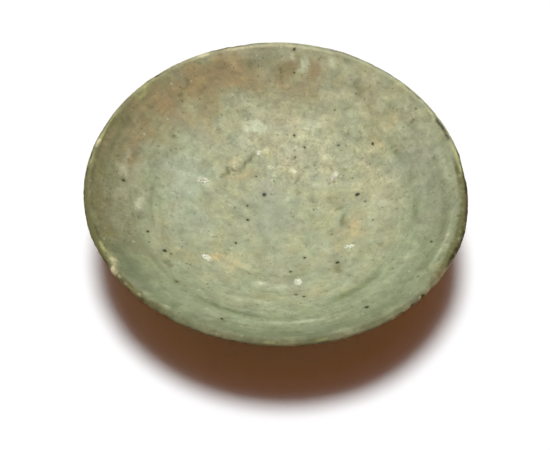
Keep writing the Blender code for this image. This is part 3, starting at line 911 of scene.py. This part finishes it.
# Marks round the lip: how far in from its outermost line and half the width in millimetres, middle bearing
# and half the span in degrees anticlockwise from +X, strength.
LIP_MARKS = {
    # Rim marks: olive on the lip, partly thin glaze and partly painted shade.
    "rim": (
        (2.2, 2.0, -166, 18, 0.95), (2.9, 0.4, 85, 35, 0.35), (1.4, 1.7, -140, 18, 0.8),
        (2.5, 1.3, -90, 62, 0.55), (-0.2, 1.0, -95, 45, 0.35), (2.7, 2.2, -12, 26, 1.0),
        (4.8, 0.6, 8, 6, 0.8), (2.6, 1.0, 10, 10, 0.4), (2.8, 0.7, 38, 12, 0.35), (3.6, 1.2, 165, 12, 0.6),
    ),
    "brown": ((1.9, 0.8, -3, 10, 0.9), (2.0, 2.0, -33, 4, 0.5), (2.9, 0.8, 132, 5, 0.4)),
    # Glow marks: yellow-green glaze, partly a painted highlight along the lip's crown and the bright band at
    # the back.
    "glow": (
        (3.0, 0.6, 12, 6, 0.7), (3.3, 0.6, 20, 7, 0.35), (3.3, 0.7, 50, 8, 0.3), (2.8, 1.2, 143, 3, 0.3),
        (3.0, 0.5, 161, 8, 0.45), (2.9, 0.5, 174, 3, 0.5), (3.5, 0.6, 166, 4, 0.4), (3.3, 0.9, 138, 3, 0.3),
        (5.8, 1.0, 144, 2.5, 0.35), (4.2, 0.6, 60, 24, 0.2), (4.5, 1.5, 142, 4, 0.4),
        (3.0, 1.0, -151, 3, 0.4), (1.2, 0.8, -134, 2.5, 0.35), (4.2, 2.2, -146, 4, 0.3),
        (1.2, 0.7, -90, 2, 0.5), (1.4, 0.7, -75, 2, 0.6),
    ),
    # Edge marks: dark brown along the lip's outer edge, partly thin glaze and partly painted shade where the
    # lip turns under.
    "edge": (
        (-0.8, 0.8, -90, 75, 0.85), (1.9, 0.4, 180, 2.5, 0.6), (4.7, 0.7, 179, 23, 0.34),
        (3.6, 0.8, -157, 4, 0.34), (1.2, 1.3, -8, 22, 0.8), (1.5, 0.5, 15.5, 2.5, 0.8),
        (3.3, 1.1, 25, 6, 0.65), (3.0, 0.4, 42, 4, 0.4), (1.6, 0.6, 45, 12, 0.75), (2.4, 0.35, 108, 6, 0.6),
        (2.4, 0.6, 134, 1.5, 0.8), (1.2, 0.4, 160, 14, 0.7), (1.8, 0.4, 174, 2.5, 0.8),
        (1.8, 0.5, 64, 18, 0.75), (2.3, 0.3, 103, 8, 0.6), (2.2, 0.4, 2, 5, 0.8), (0.9, 0.5, -15, 2, 0.9),
        (0.8, 0.5, -170, 12, 0.7), (0.6, 0.5, -12, 4, 0.9), (1.0, 0.6, -20, 2, 0.8),
        (1.5, 1.0, -26, 2.5, 0.4), (0.5, 0.8, -42, 1.0, 1.0), (-0.2, 0.8, -46, 1.0, 1.0),
        (-0.3, 0.5, -50.5, 0.8, 0.9), (-0.5, 0.5, -56, 1.0, 0.8), (-0.5, 0.5, -100, 1.0, 0.8),
        (-0.5, 0.5, -112, 1.2, 0.8), (-0.4, 0.5, -121, 1.0, 0.8), (0.8, 0.7, -130, 2, 0.4),
        (0.5, 0.6, -147, 2, 0.6), (2.8, 0.6, -148.5, 0.7, 0.6),
    ),
    "crust": (
        (1.0, 1.6, -142.2, 1.5, 1.0), (3.4, 1.6, -145, 2.0, 0.33), (1.6, 0.7, -139.5, 0.9, 0.55),
        (1.3, 0.7, -136.5, 0.8, 0.4), (5.4, 1.6, -146, 2.2, 0.38), (1.5, 1.0, -131, 1.0, 0.36),
        # The crust mark at 92 degrees, along the back of the lip, is a painted highlight.
        (4.6, 1.4, -122.5, 1.8, 0.36), (4.2, 0.6, 92, 22, 0.6), (3.5, 0.8, 119, 4, 0.3),
        (-0.2, 0.4, -53, 0.6, 0.9), (0.3, 0.4, -47.5, 0.6, 0.8), (0.8, 0.6, -43, 0.7, 0.9),
        (0.8, 0.5, -39, 0.7, 0.7), (8.0, 0.8, -17, 0.9, 0.7), (3.1, 1.1, 117, 2.4, 0.7),
        (3.0, 0.6, 38, 1.2, 0.5), (3.4, 0.7, 33, 1.5, 0.5), (2.8, 0.9, 168, 2.0, 0.8),
    ),
}

# Chips in the lip, placed in the same way: the last size is the depth in millimetres, a crumb below 0.
CHIPS = (
    (0.8, 2.0, -15, 7.0, -0.4), (0.8, 2.2, 8, 4.5, 0.5), (0.8, 2.0, -158, 6.0, -0.35),
    (0.8, 2.0, -26, 1.2, 0.2), (0.5, 2.0, -38, 0.9, 0.5), (0.5, 2.0, -42, 1.0, 0.5),
    (0.0, 2.0, -46, 0.8, 0.5), (0.0, 2.0, -50.5, 0.7, 0.4), (-0.3, 1.5, -121, 0.8, 0.3),
    (-0.3, 1.5, -130, 1.0, 0.3), (1.5, 0.8, -132, 0.6, -0.2), (1.6, 0.9, -139.5, 0.9, -0.25),
    (0.4, 1.5, -135, 1.5, 0.25), (0.4, 1.5, -126, 1.2, 0.25), (0.8, 1.8, -142.2, 1.4, -0.6),
    (0.8, 2.0, -21, 5.0, -0.3), (1.5, 1.2, 174, 2.0, 0.3), (2.2, 1.2, 134, 1.5, 0.2),
    (1.2, 2.0, 160, 7.0, 0.35), (2.0, 2.0, 105, 4.0, 0.4), (2.0, 2.0, 71, 5.0, -0.3),
    (2.6, 1.0, 115, 1.2, 0.25),
)

# Under the lip, by how far in a place lies from its outermost line: where chips end and are whole,
# and where the tint of the rim, partly thin glaze and partly painted shade, starts and is full.
CHIPS_END = -1.5 * MM
CHIPS_WHOLE = -0.5 * MM
RIM_STARTS = -0.6 * MM
RIM_FULL = -1.6 * MM
RIM_TINT = 0.9

# Waves that waver the painted outlines: length in millimetres, heading in degrees, sway in millimetres.
PAINT_WAVES = ((23, 20, 1.5), (14, 75, 1.2), (9, 140, 0.8), (6, -30, 0.5), (4, 50, 0.35))


def smooth_step(low, high, values):
    """0 below low, 1 above high, and a soft rise between; low may be the larger."""
    share = np.clip((values - low) / (high - low), 0, 1)
    return share * share * (3 - 2 * share)


def wavered(points):
    """Points swayed by a few crossing waves, so that what is painted by place gets wavy outlines."""
    moved = points.copy()
    for length, heading, sway in PAINT_WAVES:
        turn = math.radians(heading)
        along = points[:, 0] * math.cos(turn) + points[:, 1] * math.sin(turn)
        wave = sway * MM * np.sin(2 * math.pi * along / (length * MM) + length)
        moved[:, 0] -= wave * math.sin(turn)
        moved[:, 1] += wave * math.cos(turn)
    return moved


def dabbed(points, dabs):
    """How far soft oval dabs leave each point bare."""
    moved = wavered(points)
    bare = np.ones(len(points))
    for across, along, length, width, turn, strength in dabs:
        heading = math.radians(turn)
        middle = wavered(np.array([[across * MM, along * MM, 0.0]]))[0]
        right = (moved[:, 0] - middle[0]) / MM
        back = (moved[:, 1] - middle[1]) / MM
        far = (right * math.cos(heading) + back * math.sin(heading)) / length
        aside = (back * math.cos(heading) - right * math.sin(heading)) / width
        bare *= 1 - np.clip(strength * np.exp(-(far**2) - aside**2), 0, 1)
    return bare


def paint(piece, name, values):
    """Keeps one value a vertex, for the finish to read."""
    attribute = piece.data.attributes.new(name, "FLOAT", "POINT")
    attribute.data.foreach_set("value", np.asarray(values, np.float32))


def around(points):
    """Radius and bearing of each point."""
    return np.hypot(points[:, 0], points[:, 1]), np.degrees(np.arctan2(points[:, 1], points[:, 0]))


def corners_of(piece):
    """The vertices of a piece, with their radius and bearing."""
    points = np.zeros(len(piece.data.vertices) * 3, np.float32)
    piece.data.vertices.foreach_get("co", points)
    points = points.reshape(-1, 3).astype(float)
    return points, *around(points)


def move_corners(piece, points):
    """Puts the vertices of a piece at these points."""
    piece.data.vertices.foreach_set("co", points.astype(np.float32).ravel())
    piece.data.update()


def round_the_lip(points):
    """How far each point lies in from the lip's outermost line, round the lip and on down the wall."""
    radius, bearing = around(points)
    warp = KILN_WARP * np.cos(np.radians(KILN_LOBES * bearing + KILN_TURN)) * radius / RIM_RADIUS
    radius = radius - warp
    angle = np.arctan2(points[:, 2] - LIP_CENTRE_HEIGHT, radius - LIP_CENTRE_RADIUS)
    down = (WELL_RADIUS - radius) / math.cos(LIP_LEAN)
    return np.where(radius > WELL_RADIUS, LIP_RADIUS * angle, LIP_RADIUS * (math.pi / 2 + LIP_LEAN) + down)


def turned_from(bearing, heading):
    """Degrees between each bearing and a heading, either way."""
    return np.abs((bearing - heading + 180) % 360 - 180)


def swept(radius, bearing, arcs):
    """How far soft arcs round the axis leave each point bare."""
    bare = np.ones(len(radius))
    for middle, width, heading, span, strength in arcs:
        across = (radius / MM - middle) / width
        along = smooth_step(ARC_END * span, ARC_FULL * span, turned_from(bearing, heading))
        bare *= 1 - np.clip(strength * np.exp(-(across**2)) * along, 0, 1)
    return bare


def press_rings(piece):
    """Presses in the finger rings, and paints shade in their grooves and a highlight on their ridges."""
    points, radius, bearing = corners_of(piece)
    pressed = np.zeros(len(points))
    for middle, width, depth, heading, span in RINGS:
        line = middle * MM + RING_WANDER * np.sin(np.radians(2 * bearing) + middle)
        pressing = STEADY_PRESS + PRESS_SWAY * np.sin(np.radians(PRESSES_PER_TURN * bearing) + 2 * middle)
        pressing *= smooth_step(span, RING_FULL * span, turned_from(bearing, heading))
        pressed += depth * pressing * np.exp(-(((radius - line) / (width * MM)) ** 2))
    points[:, 2] -= pressed * MM
    move_corners(piece, points)
    # Painted shade in the grooves, painted highlight on the ridges.
    paint(piece, "groove", RING_TINT * pressed / DEEPEST_RING)
    paint(piece, "ridge", -RING_TINT * pressed / DEEPEST_RING)


def chip_lip(piece):
    """Takes chips out of the lip and leaves crumbs on it, well clear of its lower edge."""
    points, radius, bearing = corners_of(piece)
    inset = round_the_lip(points)
    out = radius - LIP_CENTRE_RADIUS
    up = points[:, 2] - LIP_CENTRE_HEIGHT
    lost = np.zeros(len(points))
    for middle, width, heading, span, depth in CHIPS:
        across = (inset / MM - middle) / width
        lost += depth * MM * np.exp(-(across**2) - ((bearing - heading) / span) ** 2)
    lost *= smooth_step(CHIPS_END, CHIPS_WHOLE, inset)
    shift = lost / np.maximum(np.hypot(out, up), LIP_RADIUS / 2)
    points[:, :2] *= (1 - shift * out / np.maximum(radius, MM))[:, None]
    points[:, 2] -= shift * up
    move_corners(piece, points)


def paint_inside(piece):
    """Tints of the inside, and marks round the lip, browner under its edge from thin glaze and painted shade.
    """
    points, _, bearing = corners_of(piece)
    inset = round_the_lip(points)
    wavy = around(wavered(points))
    for tint in sorted(set(DABS) | set(ARCS)):
        paint(piece, tint, 1 - dabbed(points, DABS.get(tint, ())) * swept(*wavy, ARCS.get(tint, ())))
    for tint, marks in LIP_MARKS.items():
        amount = 1 - swept(inset, bearing, marks)
        # Under the lip the rim tint is partly thin glaze and partly painted shade.
        if tint == "rim":
            amount = np.maximum(amount, RIM_TINT * smooth_step(RIM_STARTS, RIM_FULL, inset))
        paint(piece, tint, amount)


# Shaping and painting the outer coat

# Waves in the lower edge of the glaze: how many go round, height in millimetres, shift in degrees.
GLAZE_WAVES = ((3, 0.7, 20), (5, 0.5, 110), (11, 0.3, 40), (17, 0.2, 75))


def run_glaze(piece):
    """Lets the lower edge of the outer coat run unevenly down the foot."""
    points, radius, bearing = corners_of(piece)
    low = smooth_step(BED_HEIGHT, RUN_END + 2 * MM, points[:, 2])
    low *= smooth_step(FOOT_OUTER + 6 * MM, FOOT_OUTER + 3 * MM, radius)
    for count, wave, turn in GLAZE_WAVES:
        points[:, 2] += low * wave * MM * np.sin(np.radians(count * bearing + turn))
    move_corners(piece, points)


def paint_outside(piece):
    """Thin brown edge below the lip, thin patches on the wall, and the pool over the foot."""
    points, radius, _ = corners_of(piece)
    near_lip = smooth_step(RIM_RADIUS - 6 * MM, RIM_RADIUS - 1.5 * MM, radius)
    near_foot = smooth_step(FOOT_OUTER + 9 * MM, FOOT_OUTER + 2 * MM, radius)
    at_end = smooth_step(RUN_END + 1.6 * MM, RUN_END + 0.4 * MM, points[:, 2])
    high = smooth_step(RIM_RADIUS - 14 * MM, RIM_RADIUS, radius)
    paint(piece, "edge", 0.6 * near_lip)
    paint(piece, "pool", 0.9 * near_foot)
    paint(piece, "thin", np.maximum(0.8 * at_end, 0.5 * high))


# Pieces


def show(piece, slot, *nodes):
    """Shows a piece in place of its nodes."""
    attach(piece, "root")
    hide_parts(*nodes)


# Each spur stub: length and width in millimetres, turn of its long side in degrees.
SPURS = ((5.4, 2.7, 2), (3.4, 1.7, 85), (4.6, 2.4, 50), (4.2, 2.0, 8), (4.6, 3.1, -78), (5.2, 2.7, -25))
SPUR_HEIGHT = 0.9 * MM
GRAIN_SIZE = 0.22 * MM
GRAIN_DENSITY = 5.0 / MM**2


def make_spurs():
    """Six crumbled stubs, each where its node is, sunk in the glaze and square to it."""
    tree = grit_tree()
    finish = quartz_grit()
    for number, (length, width, turn) in enumerate(SPURS, start=1):
        node = f"spur_mark_{number}"
        low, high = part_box(node)
        middle = (low + high) / 2
        bearing = math.atan2(middle.y, middle.x)
        radius, height, slope = well_at(math.hypot(middle.x, middle.y) / WELL_RADIUS)
        sizes = {
            "Length": length * MM,
            "Width": width * MM,
            "Height": SPUR_HEIGHT,
            "Grain Size": GRAIN_SIZE,
            "Grains Per Square Metre": GRAIN_DENSITY,
            "Seed": number,
            "Finish": finish,
        }
        stub = grown(f"spur_grit_{number}", bpy.data.meshes.new("stub"), tree, sizes)
        place = Matrix.Rotation(bearing, 4, "Z") @ Matrix.Translation((radius, 0.0, height))
        lean = Matrix.Rotation(-slope, 4, "Y") @ Matrix.Rotation(math.radians(turn) - bearing, 4, "Z")
        stub.data.transform(place @ lean)
        show(stub, "quartz_grit", node)


# How each turned piece departs from a true turning.
INNER_COAT = {
    "Unevenness": 0.35 * MM,
    "Pucker Depth": 0.35 * MM,
    "Lip Wear": 0.6 * MM,
    "Groove Depth": 0.06 * MM,
    "Groove Pitch": 2.4 * MM,
    "Groove Start": 34 * MM,
    "Groove End": 76 * MM,
    "Groove Fade": 0.40,
}
OUTER_COAT = {
    "Unevenness": 0.2 * MM,
    "Lip Wear": 0.6 * MM,
    "Groove Depth": 0.15 * MM,
    "Groove Pitch": 3.4 * MM,
    "Groove Start": 44 * MM,
    "Groove End": 77 * MM,
    "Groove Fade": 0.3,
}
CLAY_BODY = {
    "Groove Depth": 0.25 * MM,
    "Groove Pitch": 2.6 * MM,
    "Groove Start": 0.0,
    "Groove End": 31 * MM,
    "Groove Fade": 0.2,
}
FOOT_RING = {"Unevenness": 0.15 * MM, "Groove Pitch": MM}


def make_dish():
    """The four turned pieces."""
    tree = turning_tree()
    stoneware = bare_stoneware()
    inner = turned("inner_glaze_coat", tree, inner_coat_outline(), False, inner_celadon(), INNER_COAT)
    press_rings(inner)
    chip_lip(inner)
    paint_inside(inner)
    show(inner, "inner_celadon", "inner_glaze")
    outer = turned("outer_glaze_coat", tree, outer_coat_outline(), True, outer_celadon(), OUTER_COAT)
    run_glaze(outer)
    paint_outside(outer)
    show(outer, "outer_celadon", "outer_glaze")
    body = turned("thrown_clay_body", tree, clay_outline(), False, stoneware, CLAY_BODY)
    show(body, "stoneware", "clay_body")
    foot = turned("turned_foot_ring", tree, foot_outline(), True, stoneware, FOOT_RING)
    show(foot, "stoneware", "foot_ring")


# Stage

LIGHT_TILT_BACK = 9.0
LIGHT_TILT_LEFT = 3.8
FLOOR_SIZE = 8.0
FLOOR_BOUNCE = (0.68, 0.62, 0.5, 1.0)
WORLD_GLOW = (0.144, 0.024, 0.005, 1.0)


def make_floor():
    """Matt white paper under the dish: white to the camera, darker and warmer where it bounces light."""
    finish, add, _ = new_finish("matt_white_paper")
    seen = add("ShaderNodeLightPath").outputs["Is Camera Ray"]
    colour = add(MIX, (seen, FLOOR_BOUNCE, WHITE), data_type="RGBA")
    dressed(finish, {"Base Color": colour, "Roughness": 1.0, "Specular IOR Level": 0.0})
    mesh = bpy.data.meshes.new("paper_floor")
    build = bmesh.new()
    bmesh.ops.create_grid(build, x_segments=1, y_segments=1, size=FLOOR_SIZE / 2)
    build.to_mesh(mesh)
    build.free()
    mesh.materials.append(finish)
    floor = bpy.data.objects.new("paper_floor", mesh)
    bpy.context.scene.collection.objects.link(floor)


# Each light: name, energy, width in degrees, colour.
LIGHTS = (
    ("overhead_softbox", 2.3, 15.5, (0.891, 0.951, 0.972)),
    ("softbox_skirt", 0.8, 24, (0.891, 0.951, 0.972)),
    ("ceiling_bounce", 0.26, 50, (0.5, 0.85, 1.0)),
)


def make_lights():
    """Three soft lights overhead, each wider than the last, from a little behind the dish."""
    left = math.tan(math.radians(LIGHT_TILT_LEFT))
    back = math.tan(math.radians(LIGHT_TILT_BACK))
    for name, energy, width, colour in LIGHTS:
        lamp = bpy.data.lights.new(name, "SUN")
        lamp.energy = energy
        lamp.angle = math.radians(width)
        lamp.color = colour
        light = bpy.data.objects.new(name, lamp)
        light.rotation_euler = Vector((-left, back, 1.0)).to_track_quat("Z", "Y").to_euler()
        bpy.context.scene.collection.objects.link(light)


def make_world():
    """A dim warm glow all round, white where the camera or a reflection sees it."""
    world = bpy.data.worlds.new("studio")
    world.use_nodes = True
    world.node_tree.nodes.clear()
    add = partial(add_node, world.node_tree)
    path = add("ShaderNodeLightPath").outputs
    mirrored = add(MATH, (path["Is Glossy Ray"], path["Is Transmission Ray"]), "MAXIMUM")
    shown = add(MATH, (path["Is Camera Ray"], mirrored), "MAXIMUM")
    glow = add("ShaderNodeBackground", {"Color": WORLD_GLOW, "Strength": 1.0})
    backdrop = add("ShaderNodeBackground", {"Color": WHITE, "Strength": 1.0})
    mixed = add("ShaderNodeMixShader", {0: shown, 1: glow, 2: backdrop})
    add("ShaderNodeOutputWorld", {"Surface": mixed})
    bpy.context.scene.world = world


def make_camera():
    """The photograph's view: from the front, high up, with the camera rolled a little."""
    lens = bpy.data.cameras.new("front_camera")
    lens.lens = CAMERA_LENS
    lens.sensor_width = 36.0
    camera = bpy.data.objects.new("front_camera", lens)
    raised = math.radians(CAMERA_ELEVATION)
    back = Vector((0.0, -math.cos(raised), math.sin(raised)))
    camera.location = CAMERA_TARGET + back * CAMERA_DISTANCE
    camera.rotation_mode = "QUATERNION"
    rolled = Quaternion((0.0, 0.0, 1.0), math.radians(CAMERA_ROLL))
    camera.rotation_quaternion = (-back).to_track_quat("-Z", "Y") @ rolled
    bpy.context.scene.collection.objects.link(camera)
    bpy.context.scene.camera = camera


make_camera()
make_dish()
make_spurs()
make_floor()
make_lights()
make_world()
bpy.context.scene.view_settings.view_transform = "Standard"
